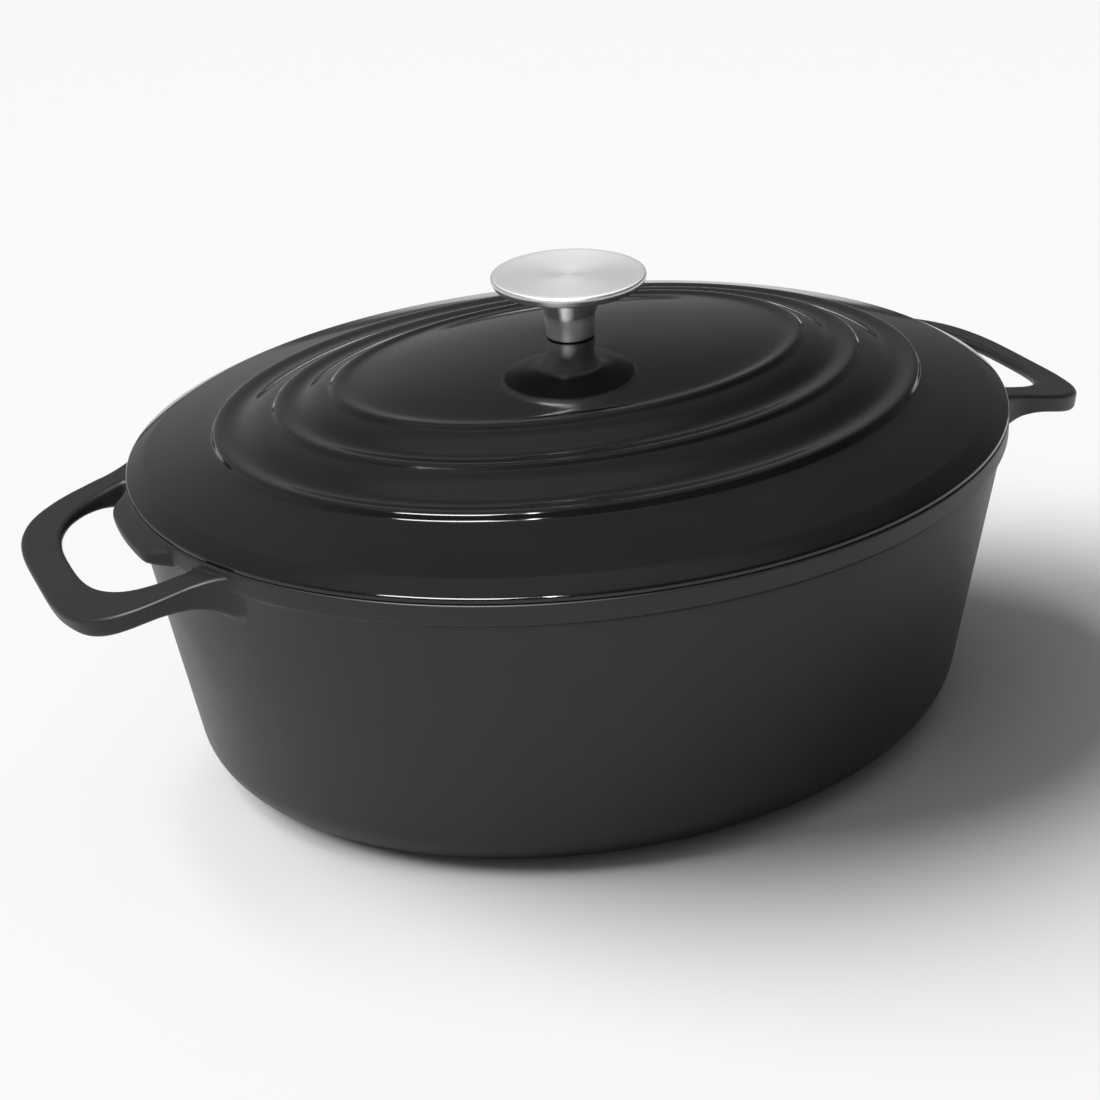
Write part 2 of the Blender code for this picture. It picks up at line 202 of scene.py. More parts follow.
def softened(points, rounds=2):
    """A smooth line that follows a control polygon and keeps its two ends (a cubic B-spline)."""
    line = np.array(points, float)
    line = np.concatenate([line[:1], line[:1], line, line[-1:], line[-1:]])
    for _ in range(rounds):
        line = np.repeat(line, 2, axis=0)
        for _ in range(3):
            line = (line[:-1] + line[1:]) / 2
    ends = np.array(points, float)
    return np.concatenate([ends[:1], line, ends[-1:]])


def rounded(points, radii, steps=5):
    """A polygon line whose corners are replaced with arcs of these radii."""
    points = [np.array(p, float) for p in points]
    line = [points[0]]
    for before, corner, after, radius in zip(points, points[1:], points[2:], radii):
        inward = (before - corner) / np.linalg.norm(before - corner)
        outward = (after - corner) / np.linalg.norm(after - corner)
        half = acos(np.clip(inward @ outward, -1, 1)) / 2
        reach = radius / np.tan(half)
        middle = inward + outward
        centre = corner + middle / np.linalg.norm(middle) * radius / sin(half)
        start = corner + inward * reach - centre
        end = corner + outward * reach - centre
        sweep = pi - 2 * half
        for i in range(steps + 1):
            share = i / steps
            weights = sin((1 - share) * sweep) / sin(sweep), sin(share * sweep) / sin(sweep)
            line.append(centre + weights[0] * start + weights[1] * end)
    line.append(points[-1])
    return np.array(line)


def thinned(line, least=0.04 * MM):
    """The same line without points that nearly repeat the one before; its last point stays."""
    result = [line[0]]
    for point in line[1:-1]:
        if np.linalg.norm(point - result[-1]) > least and np.linalg.norm(point - line[-1]) > least:
            result.append(point)
    return np.array(result + [line[-1]])


def spaced(line, longest):
    """The same line with points added so that no stretch is longer than this."""
    result = [line[0]]
    for a, b in zip(line, line[1:]):
        count = max(1, int(np.ceil(np.linalg.norm(b - a) / longest)))
        result += [a + (b - a) * (i + 1) / count for i in range(count)]
    return np.array(result)


def superellipse(size, squareness, angles):
    x = np.sign(np.cos(angles)) * size[0] * np.abs(np.cos(angles)) ** (2 / squareness)
    y = np.sign(np.sin(angles)) * size[1] * np.abs(np.sin(angles)) ** (2 / squareness)
    return np.stack([x, y], 1)


def resampled(line, count):
    """Points at even distances along a line."""
    steps = np.linalg.norm(np.diff(line, axis=0), axis=1)
    along = np.concatenate([[0], np.cumsum(steps)])
    wanted = np.linspace(0, along[-1], count)
    return np.stack([np.interp(wanted, along, line[:, i]) for i in range(line.shape[1])], 1)


# Meshes


def loft(name, loops, ring=False):
    """A closed body through loops of points: capped at both ends, or joined end to end as a ring."""
    loops = np.array(loops)
    rows, count = loops.shape[:2]
    faces = []
    last = rows if ring else rows - 1
    for row in range(last):
        here, there = row * count, (row + 1) % rows * count
        for i in range(count):
            j = (i + 1) % count
            faces.append((here + i, here + j, there + j, there + i))
    if not ring:
        faces.append(tuple(range(count)))
        faces.append(tuple(range((rows - 1) * count, rows * count)))
    mesh = bpy.data.meshes.new(name)
    mesh.from_pydata(loops.reshape(-1, 3).tolist(), [], faces)
    bm = bmesh.new()
    bm.from_mesh(mesh)
    bmesh.ops.recalc_face_normals(bm, faces=bm.faces)
    bm.to_mesh(mesh)
    bm.free()
    mesh.shade_smooth()
    item = bpy.data.objects.new(name, mesh)
    bpy.context.scene.collection.objects.link(item)
    return item


def oval_loops(profile, outline):
    """Level ovals, each drawn in from the outline by the profile's inset, at the profile's height."""
    turns = np.linspace(0, tau, OVAL_SEGMENTS, endpoint=False)
    loops = []
    for inset, height in profile:
        x = (outline[0] - inset) * np.cos(turns)
        y = (outline[1] - inset) * np.sin(turns)
        loops.append(np.stack([x, y, np.full_like(x, height)], 1))
    return loops


def ring_loop(radius, turns, height):
    """A level loop about the axis; its radius may be one for each turn."""
    return np.stack([radius * np.cos(turns), radius * np.sin(turns), np.full_like(turns, height)], 1)


def turned_loops(profile, segments=TURNED_SEGMENTS):
    turns = np.linspace(0, tau, segments, endpoint=False)
    return [ring_loop(radius, turns, height) for radius, height in profile]


def boolean(item, other, operation):
    """Applies an exact Boolean and removes the other object."""
    modifier = item.modifiers.new("join", "BOOLEAN")
    modifier.operation = operation
    modifier.solver = "EXACT"
    modifier.object = other
    graph = bpy.context.evaluated_depsgraph_get()
    mesh = bpy.data.meshes.new_from_object(item.evaluated_get(graph))
    item.modifiers.clear()
    item.data = mesh
    bpy.data.objects.remove(other, do_unlink=True)


# Pot


def wall_inset(height):
    """How far the tapered wall has drawn in from the rim outline at this height."""
    return BAND_STEP + POT_DRAFT * (1 - height / POT_HEIGHT)


def outer_profile():
    """Inset and height of the outside, from the hollow of the foot up to the rim."""
    low = wall_inset(0)
    base = low + BASE_CORNER
    band = POT_HEIGHT - BAND_HEIGHT
    hollow = [
        (base + 4 * FOOT_INSET, FOOT_HOLLOW),
        (base + FOOT_INSET + FOOT_ROUND, FOOT_HOLLOW),
        (base + FOOT_INSET, 0),
        (base, 0),
    ]
    foot = rounded(hollow, (FOOT_ROUND, FOOT_ROUND), 4)
    corner = []
    for turn in np.linspace(0, pi / 2, CORNER_STEPS + 1)[1:]:
        height = BASE_CORNER * (1 - cos(turn))
        corner.append((wall_inset(height) + BASE_CORNER * (1 - sin(turn)), height))
    wall = [
        (wall_inset(BASE_CORNER), BASE_CORNER),
        (wall_inset(band - 3 * BAND_STEP), band - 3 * BAND_STEP),
        (wall_inset(band) - BAND_STEP * 0.05, band - BAND_STEP),
        (BAND_STEP * 0.2, band + BAND_STEP),
        (0, band + 4 * BAND_STEP),
    ]
    rim = [(0, POT_HEIGHT), (POT_WALL, POT_HEIGHT)]
    band_line = softened(wall[1:])
    top = rounded([wall[-1], *rim], (RIM_ROUND,), 5)[:-1]
    straight = spaced(np.array(wall[:2]), 4 * MM)[1:-1]
    top = spaced(top, 1.2 * MM)
    end = [(POT_WALL * 0.6, POT_HEIGHT)]
    return thinned(np.concatenate([foot[:-1], corner, straight, band_line[:-1], top, end]))


def inner_profile():
    """Inset and height of the cavity, from the floor up and out through the rim."""
    low = wall_inset(POT_FLOOR) + POT_WALL
    rim = wall_inset(POT_HEIGHT) + POT_WALL - BAND_STEP
    points = [
        (low + 4 * FLOOR_ROUND, POT_FLOOR),
        (low, POT_FLOOR),
        (rim, POT_HEIGHT),
        (rim - RIM_ROUND * 3, POT_HEIGHT),
    ]
    line = rounded(points, (FLOOR_ROUND, RIM_ROUND), 10)[:-1]
    line = spaced(line, 5 * MM)
    tail = (line[-1][0] - 0.05 * MM, POT_HEIGHT + BAND_HEIGHT)
    return thinned(np.concatenate([line, [tail]]))


def handle_top(reach):
    """Height of the handle's upper face at this distance from the oval's middle, level at the root."""
    plane = HANDLE_TOP_AT_CENTRE - HANDLE_FALL * (reach - HANDLE_CENTRE)
    return ROOT_TOP - ROOT_EASE * np.logaddexp(0, (ROOT_TOP - plane) / ROOT_EASE)


def handle_depth(reach):
    """Thickness of the bar, which deepens in a curve towards the wall."""
    share = np.clip((ROOT_FLARE_START - reach) / (ROOT_FLARE_START - HANDLE_CENTRE), 0, 1)
    return HANDLE_THICKNESS + (ROOT_DEPTH - HANDLE_THICKNESS) * share**ROOT_FLARE_POWER


def eased(value, low, high):
    """Rises smoothly from 0 at low to 1 at high."""
    share = float(np.clip((value - low) / (high - low), 0, 1))
    return share * share * (3 - 2 * share)


def wall_distance(x, y, outline):
    """Distance from a plan point to an oval, negative inside it, by sampling the oval finely."""
    turns = np.linspace(0, pi / 2, 2000)
    gap = np.min(np.hypot(outline[0] * np.cos(turns) - x, outline[1] * np.sin(turns) - y))
    return gap if (x / outline[0]) ** 2 + (y / outline[1]) ** 2 > 1 else -gap


def root_fillet(side_y, radius, outward):
    """Plan arc that leads a leg's side, at side_y, round into the pot's wall and just under its skin."""
    outline = POT_OUTLINE - wall_inset(POT_HEIGHT - BAND_HEIGHT)
    centre_y = side_y + outward * radius
    low, high = 120 * MM, 220 * MM
    for _ in range(40):
        middle = (low + high) / 2
        if wall_distance(middle, centre_y, outline) < radius - FILLET_SINK:
            low = middle
        else:
            high = middle
    turns = np.linspace(0, pi / 2, 90)
    x = low - radius * np.sin(turns)
    y = centre_y - outward * radius * np.cos(turns)
    gaps = [wall_distance(a, b, outline) for a, b in zip(x, y)]
    deepest = int(np.argmin(gaps)) + 1
    return resampled(np.stack([x, y], 1)[:deepest], FILLET_STATIONS)


def handle_side(size, squareness, radius, outward):
    """Half of one plan curve of the loop: from its far end, along a leg and into the wall."""
    angles = np.linspace(0, pi / 2, 400)
    loop = superellipse(size, squareness, angles) + (HANDLE_CENTRE, 0)
    fillet = root_fillet(size[1], radius, outward)
    loop = loop[loop[:, 0] > fillet[0, 0] + 4 * MM]
    loop = resampled(np.concatenate([loop, fillet[:1]]), LOOP_STATIONS)
    return np.concatenate([loop[:-1], fillet])


def drawn_to_wall(points):
    """Moves the handle's points below the band in towards the tapering wall where they are near it."""
    band = POT_HEIGHT - BAND_HEIGHT
    outline = POT_OUTLINE - wall_inset(band)
    result = points.copy()
    for point in result:
        x, y, z = point
        if z < band:
            near = 1 - wall_distance(abs(x), abs(y), outline) / WALL_PULL_REACH
            share = min(max(near, 0), 1)
            share = share * share * (3 - 2 * share)
            away = np.array((x / outline[0] ** 2, y / outline[1] ** 2))
            point[:2] -= away / np.linalg.norm(away) * (wall_inset(z) - wall_inset(band)) * share
    return result


def handle_section(outer, inner):
    """One loop of the handle's section: flat on top, rounded at its corners, lower on its outside."""
    width = np.linalg.norm(outer - inner)
    reach = (outer[0] + inner[0]) / 2
    depth = handle_depth(reach)
    end = eased(outer[0], 190 * MM, POT_HIGH.x)
    undercut = LEG_UNDERCUT + (END_UNDERCUT - LEG_UNDERCUT) * end
    corner = eased(outer[0], 172 * MM, 192 * MM) * eased(abs(outer[1]), 30 * MM, 44 * MM)
    outside = depth + HANDLE_LIP + CORNER_EXTRA * corner
    root = np.clip((180 * MM - reach) / (20 * MM), 0, 1) ** 1.2
    inside = depth - HANDLE_LIP - END_LESS * eased(reach, 176 * MM, 192 * MM) + ROOT_EXTRA * root
    corners = [
        (width / 2, 0),
        (width, 0),
        (width - undercut, -outside),
        (0, -inside),
        (0, 0),
        (width / 2, 0),
    ]
    line = rounded(corners, SECTION_RADII, 6)[:-1]
    line = resampled(np.concatenate([line, line[:1]]), SECTION_POINTS + 1)[:-1]
    share = line[:, :1] / width
    plan = inner + (outer - inner) * share
    fall = handle_top(plan[:, 0]) + line[:, 1] * handle_depth(plan[:, 0]) / depth
    return drawn_to_wall(np.concatenate([plan, fall[:, None]], 1))


def make_handle(side):
    outer = handle_side(HANDLE_OUTER, OUTER_SQUARENESS, OUTER_FILLET, 1)
    inner = handle_side(HANDLE_INNER, INNER_SQUARENESS, INNER_FILLET, -1)
    halves = list(zip(outer, inner))
    mirror = np.array((1, -1))
    stations = [(o * mirror, i * mirror) for o, i in reversed(halves[1:])] + halves
    loops = np.array([handle_section(o, i) for o, i in stations])
    loops[..., 0] *= side
    return loft("handle", loops)


def tab_section(y):
    """One cut through the tab along the oval: its top leaves the rim, slopes down and rolls over."""
    flare = TAB_FLARE * TAB_CORNER * np.logaddexp(0, (abs(y) - TAB_HALF_WIDTH) / TAB_CORNER)
    wall = POT_OUTLINE[0] * sqrt(1 - (y / POT_OUTLINE[1]) ** 2)
    reach = max(TAB_REACH - TAB_BOW * (y / TAB_HALF_WIDTH) ** 2 - flare, wall - 0.3 * MM)
    top = POT_HEIGHT
    bottom = POT_HEIGHT - BAND_HEIGHT - 0.4 * MM
    shelf = top - 4.0 * MM + 0.3 * flare
    outside = softened(
        [
            (wall - 2.4 * MM, top - 0.2 * MM),
            (wall - 0.6 * MM, top - 0.25 * MM),
            (reach - 1.4 * MM, shelf),
            (reach - 0.2 * MM, shelf - 0.9 * MM),
            (reach, bottom + 1.6 * MM),
            (reach, bottom + 0.4 * MM),
            (reach - 0.8 * MM, bottom),
            (wall - 2.8 * MM, bottom - 0.2 * MM),
        ]
    )
    return [(x, y, z) for x, z in [(wall - 2.8 * MM, (top + bottom) / 2), *outside[1:]]]


def make_tab(side):
    """A short shelf at the rim, between the two notches."""
    stations = np.linspace(-TAB_ROOT_HALF_WIDTH, TAB_ROOT_HALF_WIDTH, TAB_STATIONS)
    loops = np.array([tab_section(float(y)) for y in stations])
    loops[..., 0] *= side
    return loft("tab", loops)


def make_pot():
    pot = loft("pot", oval_loops(outer_profile(), POT_OUTLINE))
    for side in (-1, 1):
        boolean(pot, make_handle(side), "UNION")
        boolean(pot, make_tab(side), "UNION")
    boolean(pot, loft("cavity", oval_loops(inner_profile(), POT_OUTLINE)), "DIFFERENCE")
    return pot


# Lid


def lid_width(half_length):
    """Half width of the lid's level oval with this half length: it turns round towards the knob."""
    lengths = [LID_PAD_RADIUS] + [step[0] for step in reversed(LID_STEPS)] + [LID_OUTLINE[0]]
    widths = [LID_PAD_RADIUS] + [step[1] for step in reversed(LID_STEPS)] + [LID_OUTLINE[1]]
    if half_length < LID_PAD_RADIUS:
        return half_length
    return float(np.interp(half_length, lengths, widths))


def lid_top_line():
    """Half length and height of the upper face, from the rim's lower edge to the screw hole."""
    length = LID_OUTLINE[0]
    edge = rounded(
        [
            (length - 3 * MM, LID_BOTTOM),
            (length, LID_BOTTOM),
            (length, LID_BOTTOM + LID_EDGE_HEIGHT),
            (length - LID_SHOULDER[0], LID_BOTTOM + LID_SHOULDER[1]),
        ],
        (0.5 * MM, 1.3 * MM),
        6,
    )
    points = [edge[-1], edge[-1] + (-1.0 * MM, 0.27 * MM), edge[-1] + (-3.0 * MM, 0.81 * MM)]
    for (crest, _, height), (rise, steep, bulge) in zip(LID_STEPS, LID_RISERS):
        edge_of_step = np.array((crest + 0.6 * MM, height))
        foot = edge_of_step + (rise / steep, -rise)
        middle = (points[-1] + foot + (2.0 * MM, -0.8 * MM)) / 2
        points.append(middle + (0.3 * MM, bulge))
        points.append(foot + (4.0 * MM, -1.2 * MM))
        points.append(foot + (1.0 * MM, -0.28 * MM))
        riser = edge_of_step - foot
        points += [foot, foot + riser * 0.3, foot + riser * 0.7, edge_of_step]
        points.append((crest - 0.6 * MM, height + 0.3 * MM))
        points.append((crest - 2.4 * MM, height + 0.15 * MM))
        points.append((crest - 4.8 * MM, height - 0.3 * MM))
        points.append((crest - 8.0 * MM, height - 0.2 * MM))
    start_length, start_height = points[-1]
    for share in (0.85, 0.7, 0.5, 0.32):
        height = LID_CENTRE_HEIGHT - (LID_CENTRE_HEIGHT - start_height) * share**2
        points.append((start_length * share, height))
    points.append((LID_PAD_RADIUS, LID_CENTRE_HEIGHT))
    points.append((LID_PAD_RADIUS * 0.6, LID_CENTRE_HEIGHT))
    points.append((SCREW_HOLE_RADIUS + 0.3 * MM, LID_CENTRE_HEIGHT))
    line = np.concatenate([edge[:-1], softened(points)])
    return np.concatenate([line, [(SCREW_HOLE_RADIUS, LID_CENTRE_HEIGHT - 0.3 * MM)]])


def lid_under_line():
    """Half length and height of the lower face, from the screw hole out to the seat."""
    top = lid_top_line()
    rib_outer = LID_OUTLINE[0] - SEAT_INSET
    rib_inner = rib_outer - RIB_THICKNESS
    under = [(SCREW_HOLE_RADIUS, LID_CENTRE_HEIGHT - LID_WALL + 0.3 * MM)]
    under.append((SCREW_HOLE_RADIUS + 0.3 * MM, LID_CENTRE_HEIGHT - LID_WALL))
    shell = [p for p in top[::-1] if 10 * MM < p[0] < rib_inner - LID_WALL]
    shell = np.array(shell) - (LID_WALL / 3, LID_WALL)
    shell = softened(shell[::UNDER_STRIDE])
    seat = rounded(
        [
            shell[-1],
            (rib_inner - 0.2 * MM, LID_BOTTOM + 1.2 * MM),
            (rib_inner, LID_LOW.z),
            (rib_outer, LID_LOW.z),
            (rib_outer, LID_BOTTOM),
            (LID_OUTLINE[0] - 3 * MM, LID_BOTTOM),
        ],
        (2.5 * MM, 0.9 * MM, 0.9 * MM, 0.6 * MM),
        5,
    )
    return np.concatenate([under, shell[:-1], seat[:-1]])


def make_lid():
    line = thinned(np.concatenate([lid_under_line(), lid_top_line()]))
    turns = np.linspace(0, tau, OVAL_SEGMENTS, endpoint=False)
    loops = []
    for half_length, height in line:
        x = half_length * np.cos(turns)
        y = lid_width(half_length) * np.sin(turns)
        loops.append(np.stack([x, y, np.full_like(x, height)], 1))
    return loft("lid_shell", loops, ring=True)


# Knob and fastener


def make_knob():
    """A slightly dished disc on a waisted stem, with a blind hole in its foot."""
    top, base, radius = KNOB_HIGH.z, KNOB_LOW.z, KNOB_HIGH.x
    dish = [(0.05 * MM, top - KNOB_DISH)]
    for share in (0.15, 0.3, 0.45, 0.6, 0.75, 0.87):
        dish.append((radius * share, top - KNOB_DISH * (1 - share**2)))
    rim = rounded(
        [
            dish[-1],
            (radius - 0.2 * MM, top),
            (radius, top - 1.6 * MM),
            (radius - 1.4 * MM, top - KNOB_RIM),
            (radius * 0.60, top - KNOB_RIM - 1.4 * MM),
            (STEM_TOP_RADIUS, top - KNOB_RIM - 3.0 * MM),
            (STEM_FOOT_RADIUS + 0.7 * MM, base + 8.5 * MM),
            (STEM_FOOT_RADIUS, base + 0.5 * MM),
        ],
        (0.9 * MM, 1.2 * MM, 1.2 * MM, 9.0 * MM, 3.5 * MM, 14.0 * MM),
        8,
    )
    foot = rounded(
        [rim[-1], (STEM_FOOT_RADIUS, base), (KNOB_HOLE_RADIUS, base), (KNOB_HOLE_RADIUS, base + 3 * MM)],
        (0.4 * MM, 0.5 * MM),
        4,
    )
    hole = [(KNOB_HOLE_RADIUS, base + KNOB_HOLE_DEPTH - 1 * MM), (0.05 * MM, base + KNOB_HOLE_DEPTH)]
    line = thinned(np.concatenate([dish[:-1], rim, foot[1:], hole]))
    return loft("knob_turned", turned_loops(line))


def washer_section(low, high, outer, round_radius):
    """A closed rectangle with rounded corners, from its lower middle round to its upper inside."""
    middle = ((WASHER_HOLE + outer) / 2, low)
    corners = [middle, (outer, low), (outer, high), (WASHER_HOLE, high), (WASHER_HOLE, low), middle]
    return rounded(corners, [round_radius] * 4, 4)[:-1]


def make_screw():
    """Pan head screw with a cut thread and a tapered cross recess."""
    tip, bottom = SCREW_HIGH.z, SCREW_LOW.z
    head_radius = SCREW_HIGH.x
    seat = SPRING_LOW.z - GAP
    head = rounded(
        [
            (0.05 * MM, bottom),
            (head_radius * 0.55, bottom + 0.1 * MM),
            (head_radius, bottom + 1.9 * MM),
            (head_radius, seat),
            (SCREW_RADIUS, seat),
            (SCREW_RADIUS, seat + 0.6 * MM),
        ],
        (4 * MM, 0.8 * MM, 0.2 * MM, 0.2 * MM),
        5,
    )
    loops = turned_loops(head, SCREW_SEGMENTS)
    turns = np.linspace(0, tau, SCREW_SEGMENTS, endpoint=False)
    thread_start = seat + 0.7 * MM
    for height in np.arange(thread_start, tip, THREAD_PITCH / 8):
        phase = (height / THREAD_PITCH - turns / tau) % 1
        ease = np.clip(min(height - thread_start, tip - height) / THREAD_PITCH, 0, 1)
        taper = 0.4 * MM * (1 - np.clip((tip - height) / MM, 0, 1))
        radius = SCREW_RADIUS - THREAD_DEPTH * np.abs(2 * phase - 1) * ease - taper
        loops.append(ring_loop(radius, turns, height))
    loops.append(ring_loop(SCREW_RADIUS - 0.8 * MM, turns, tip))
    screw = loft("screw", loops)
    recess = []
    for depth, length, width in RECESS_CUTS:
        arm = [(length, -width), (length, width), (width, width)]
        cross = arm + [(-y, x) for x, y in arm]
        cross += [(-x, -y) for x, y in cross]
        recess.append([(x * MM, y * MM, bottom + depth * MM) for x, y in cross])
    boolean(screw, loft("recess", recess), "DIFFERENCE")
    return screw


def make_flat_washer():
    section = washer_section(FLAT_LOW.z, FLAT_HIGH.z, FLAT_HIGH.x, 0.25 * MM)
    return loft("washer_flat", turned_loops(section, WASHER_SEGMENTS), ring=True)


def make_spring_washer():
    """A split ring with chamfered edges and slightly sprung ends."""
    low, high, outer = SPRING_LOW.z, SPRING_HIGH.z, SPRING_HIGH.x
    split = asin(0.6 * MM / outer) * 1.3
    middle = (low + high) / 2
    section = washer_section(low, high, outer, 0.2 * MM)
    loops = []
    for turn in np.linspace(split, tau - split, SPRING_STATIONS):
        lift = (turn - pi) / pi * 0.07 * MM
        radius = section[:, 0]
        height = (section[:, 1] - middle) * 0.9 + middle + lift
        loops.append(np.stack([radius * cos(turn), radius * sin(turn), height], 1))
    return loft("washer_spring", loops)


# Materials


def material_with(name, **values):
    material = bpy.data.materials.new(name)
    material.use_nodes = True
    shader = material.node_tree.nodes["Principled BSDF"]
    for socket, value in values.items():
        shader.inputs[socket.replace("_", " ")].default_value = value
    return material, material.node_tree, shader


def texture_noise(tree, scale, detail, roughness=0.5):
    """Noise in the object's own space."""
    place = tree.nodes.new("ShaderNodeTexCoord")
    noise = tree.nodes.new("ShaderNodeTexNoise")
    noise.inputs["Scale"].default_value = scale
    noise.inputs["Detail"].default_value = detail
    noise.inputs["Roughness"].default_value = roughness
    tree.links.new(place.outputs["Object"], noise.inputs["Vector"])
    return noise.outputs["Fac"]


def ranged(tree, source, low, high):
    node = tree.nodes.new("ShaderNodeMapRange")
    node.inputs["From Min"].default_value = 0.3
    node.inputs["From Max"].default_value = 0.7
    node.inputs["To Min"].default_value = low
    node.inputs["To Max"].default_value = high
    tree.links.new(source, node.inputs["Value"])
    return node.outputs["Result"]


def blended(tree, source, dark, light):
    ramp = tree.nodes.new("ShaderNodeValToRGB")
    ramp.color_ramp.elements[0].position = 0.3
    ramp.color_ramp.elements[1].position = 0.7
    ramp.color_ramp.elements[0].color = (*dark, 1)
    ramp.color_ramp.elements[1].color = (*light, 1)
    tree.links.new(source, ramp.inputs["Fac"])
    return ramp.outputs["Color"]


def bumped(tree, shader, layers):
    """A chain of bumps, each a height source and its depth in metres."""
    normal = None
    for source, distance in layers:
        bump = tree.nodes.new("ShaderNodeBump")
        bump.inputs["Strength"].default_value = 1.0
        bump.inputs["Distance"].default_value = distance
        tree.links.new(source, bump.inputs["Height"])
        if normal is not None:
            tree.links.new(normal, bump.inputs["Normal"])
        normal = bump.outputs["Normal"]
    tree.links.new(normal, shader.inputs["Normal"])


def enamel(name, dark, light, gloss, rougher, peel, shine):
    """Black vitreous enamel on cast iron: glossy, with a faint orange peel and slow waviness."""
    material, tree, shader = material_with(name, IOR=1.5, Specular_IOR_Level=shine)
    tone = texture_noise(tree, 38, 4)
    tree.links.new(blended(tree, tone, dark, light), shader.inputs["Base Color"])
    wear = texture_noise(tree, 22, 5, 0.6)
    tree.links.new(ranged(tree, wear, gloss, rougher), shader.inputs["Roughness"])
    fine = texture_noise(tree, 420, 2)
    slow = texture_noise(tree, 45, 2)
    bumped(tree, shader, [(slow, 2.5 * peel), (fine, peel)])
    return material


def brushed_steel(name, dark, light, smooth, rough, groove):
    """Turned steel: fine rings about its axis, and streaks of duller metal along them."""
    material, tree, shader = material_with(
        name, Metallic=1.0, Anisotropic=0.3, Anisotropic_Rotation=0.25
    )
    place = tree.nodes.new("ShaderNodeTexCoord")
    split = tree.nodes.new("ShaderNodeSeparateXYZ")
    tree.links.new(place.outputs["Object"], split.inputs["Vector"])
    flat = tree.nodes.new("ShaderNodeCombineXYZ")
    tree.links.new(split.outputs["X"], flat.inputs["X"])
    tree.links.new(split.outputs["Y"], flat.inputs["Y"])
    length = tree.nodes.new("ShaderNodeVectorMath")
    length.operation = "LENGTH"
    tree.links.new(flat.outputs["Vector"], length.inputs[0])
    across = tree.nodes.new("ShaderNodeCombineXYZ")
    tree.links.new(length.outputs["Value"], across.inputs["X"])
    tree.links.new(split.outputs["Z"], across.inputs["Z"])
    rings = tree.nodes.new("ShaderNodeTexNoise")
    rings.inputs["Scale"].default_value = 3500
    rings.inputs["Detail"].default_value = 3
    tree.links.new(across.outputs["Vector"], rings.inputs["Vector"])
    streaks = rings.outputs["Fac"]
    cloud = texture_noise(tree, 60, 4)
    tree.links.new(blended(tree, cloud, dark, light), shader.inputs["Base Color"])
    tree.links.new(ranged(tree, streaks, smooth, rough), shader.inputs["Roughness"])
    tangent = tree.nodes.new("ShaderNodeTangent")
    tangent.direction_type = "RADIAL"
    tangent.axis = "Z"
    tree.links.new(tangent.outputs["Tangent"], shader.inputs["Tangent"])
    bumped(tree, shader, [(streaks, groove)])
    return material


# Stage, light and camera


def ramp_of(tree, source, low, high, stops):
    """A grey ramp over a range of values, through (value, tone) stops."""
    span = tree.nodes.new("ShaderNodeMapRange")
    span.inputs["From Min"].default_value = low
    span.inputs["From Max"].default_value = high
    tree.links.new(source, span.inputs["Value"])
    ramp = tree.nodes.new("ShaderNodeValToRGB")
    elements = ramp.color_ramp.elements
    while len(elements) < len(stops):
        elements.new(0.5)
    for element, (value, tone) in zip(elements, stops):
        element.position = (value - low) / (high - low)
        element.color = (tone, tone, tone, 1)
    tree.links.new(span.outputs["Result"], ramp.inputs["Fac"])
    return ramp.outputs["Color"]


def make_floor():
    bm = bmesh.new()
    bmesh.ops.create_grid(bm, x_segments=8, y_segments=8, size=FLOOR_HALF_SIZE)
    bmesh.ops.translate(bm, verts=bm.verts, vec=(0, 0, CAD_BOX[0][2] - FLOOR_DROP))
    mesh = bpy.data.meshes.new("floor")
    bm.to_mesh(mesh)
    bm.free()
    floor = bpy.data.objects.new("floor", mesh)
    bpy.context.scene.collection.objects.link(floor)
    material, tree, shader = material_with("pale_floor", Roughness=0.9, Specular_IOR_Level=0.1)
    place = tree.nodes.new("ShaderNodeTexCoord")
    away = tree.nodes.new("ShaderNodeVectorMath")
    away.operation = "LENGTH"
    tree.links.new(place.outputs["Object"], away.inputs[0])
    # Painted shade: the floor's base colour darkens with distance from the middle, as if the light did
    # not reach the far floor.
    tree.links.new(ramp_of(tree, away.outputs["Value"], 0, 4, FLOOR_TONES), shader.inputs["Base Color"])
    mesh.materials.append(material)


def spherical(azimuth, elevation):
    """Unit vector: azimuth 0 is -Y, the front, and it grows towards +X."""
    a, e = radians(azimuth), radians(elevation)
    return Vector((sin(a) * cos(e), -cos(a) * cos(e), sin(e)))


def area_light(name, target, size, direction, distance, power):
    """A rectangular soft light that faces the target from this azimuth and elevation."""
    light = bpy.data.lights.new(name, "AREA")
    light.shape = "RECTANGLE"
    light.size, light.size_y = size
    light.energy = power
    item = bpy.data.objects.new(name, light)
    bpy.context.scene.collection.objects.link(item)
    towards = spherical(*direction)
    item.location = target + towards * distance
    item.rotation_mode = "QUATERNION"
    item.rotation_quaternion = towards.to_track_quat("Z", "Y")
    return item


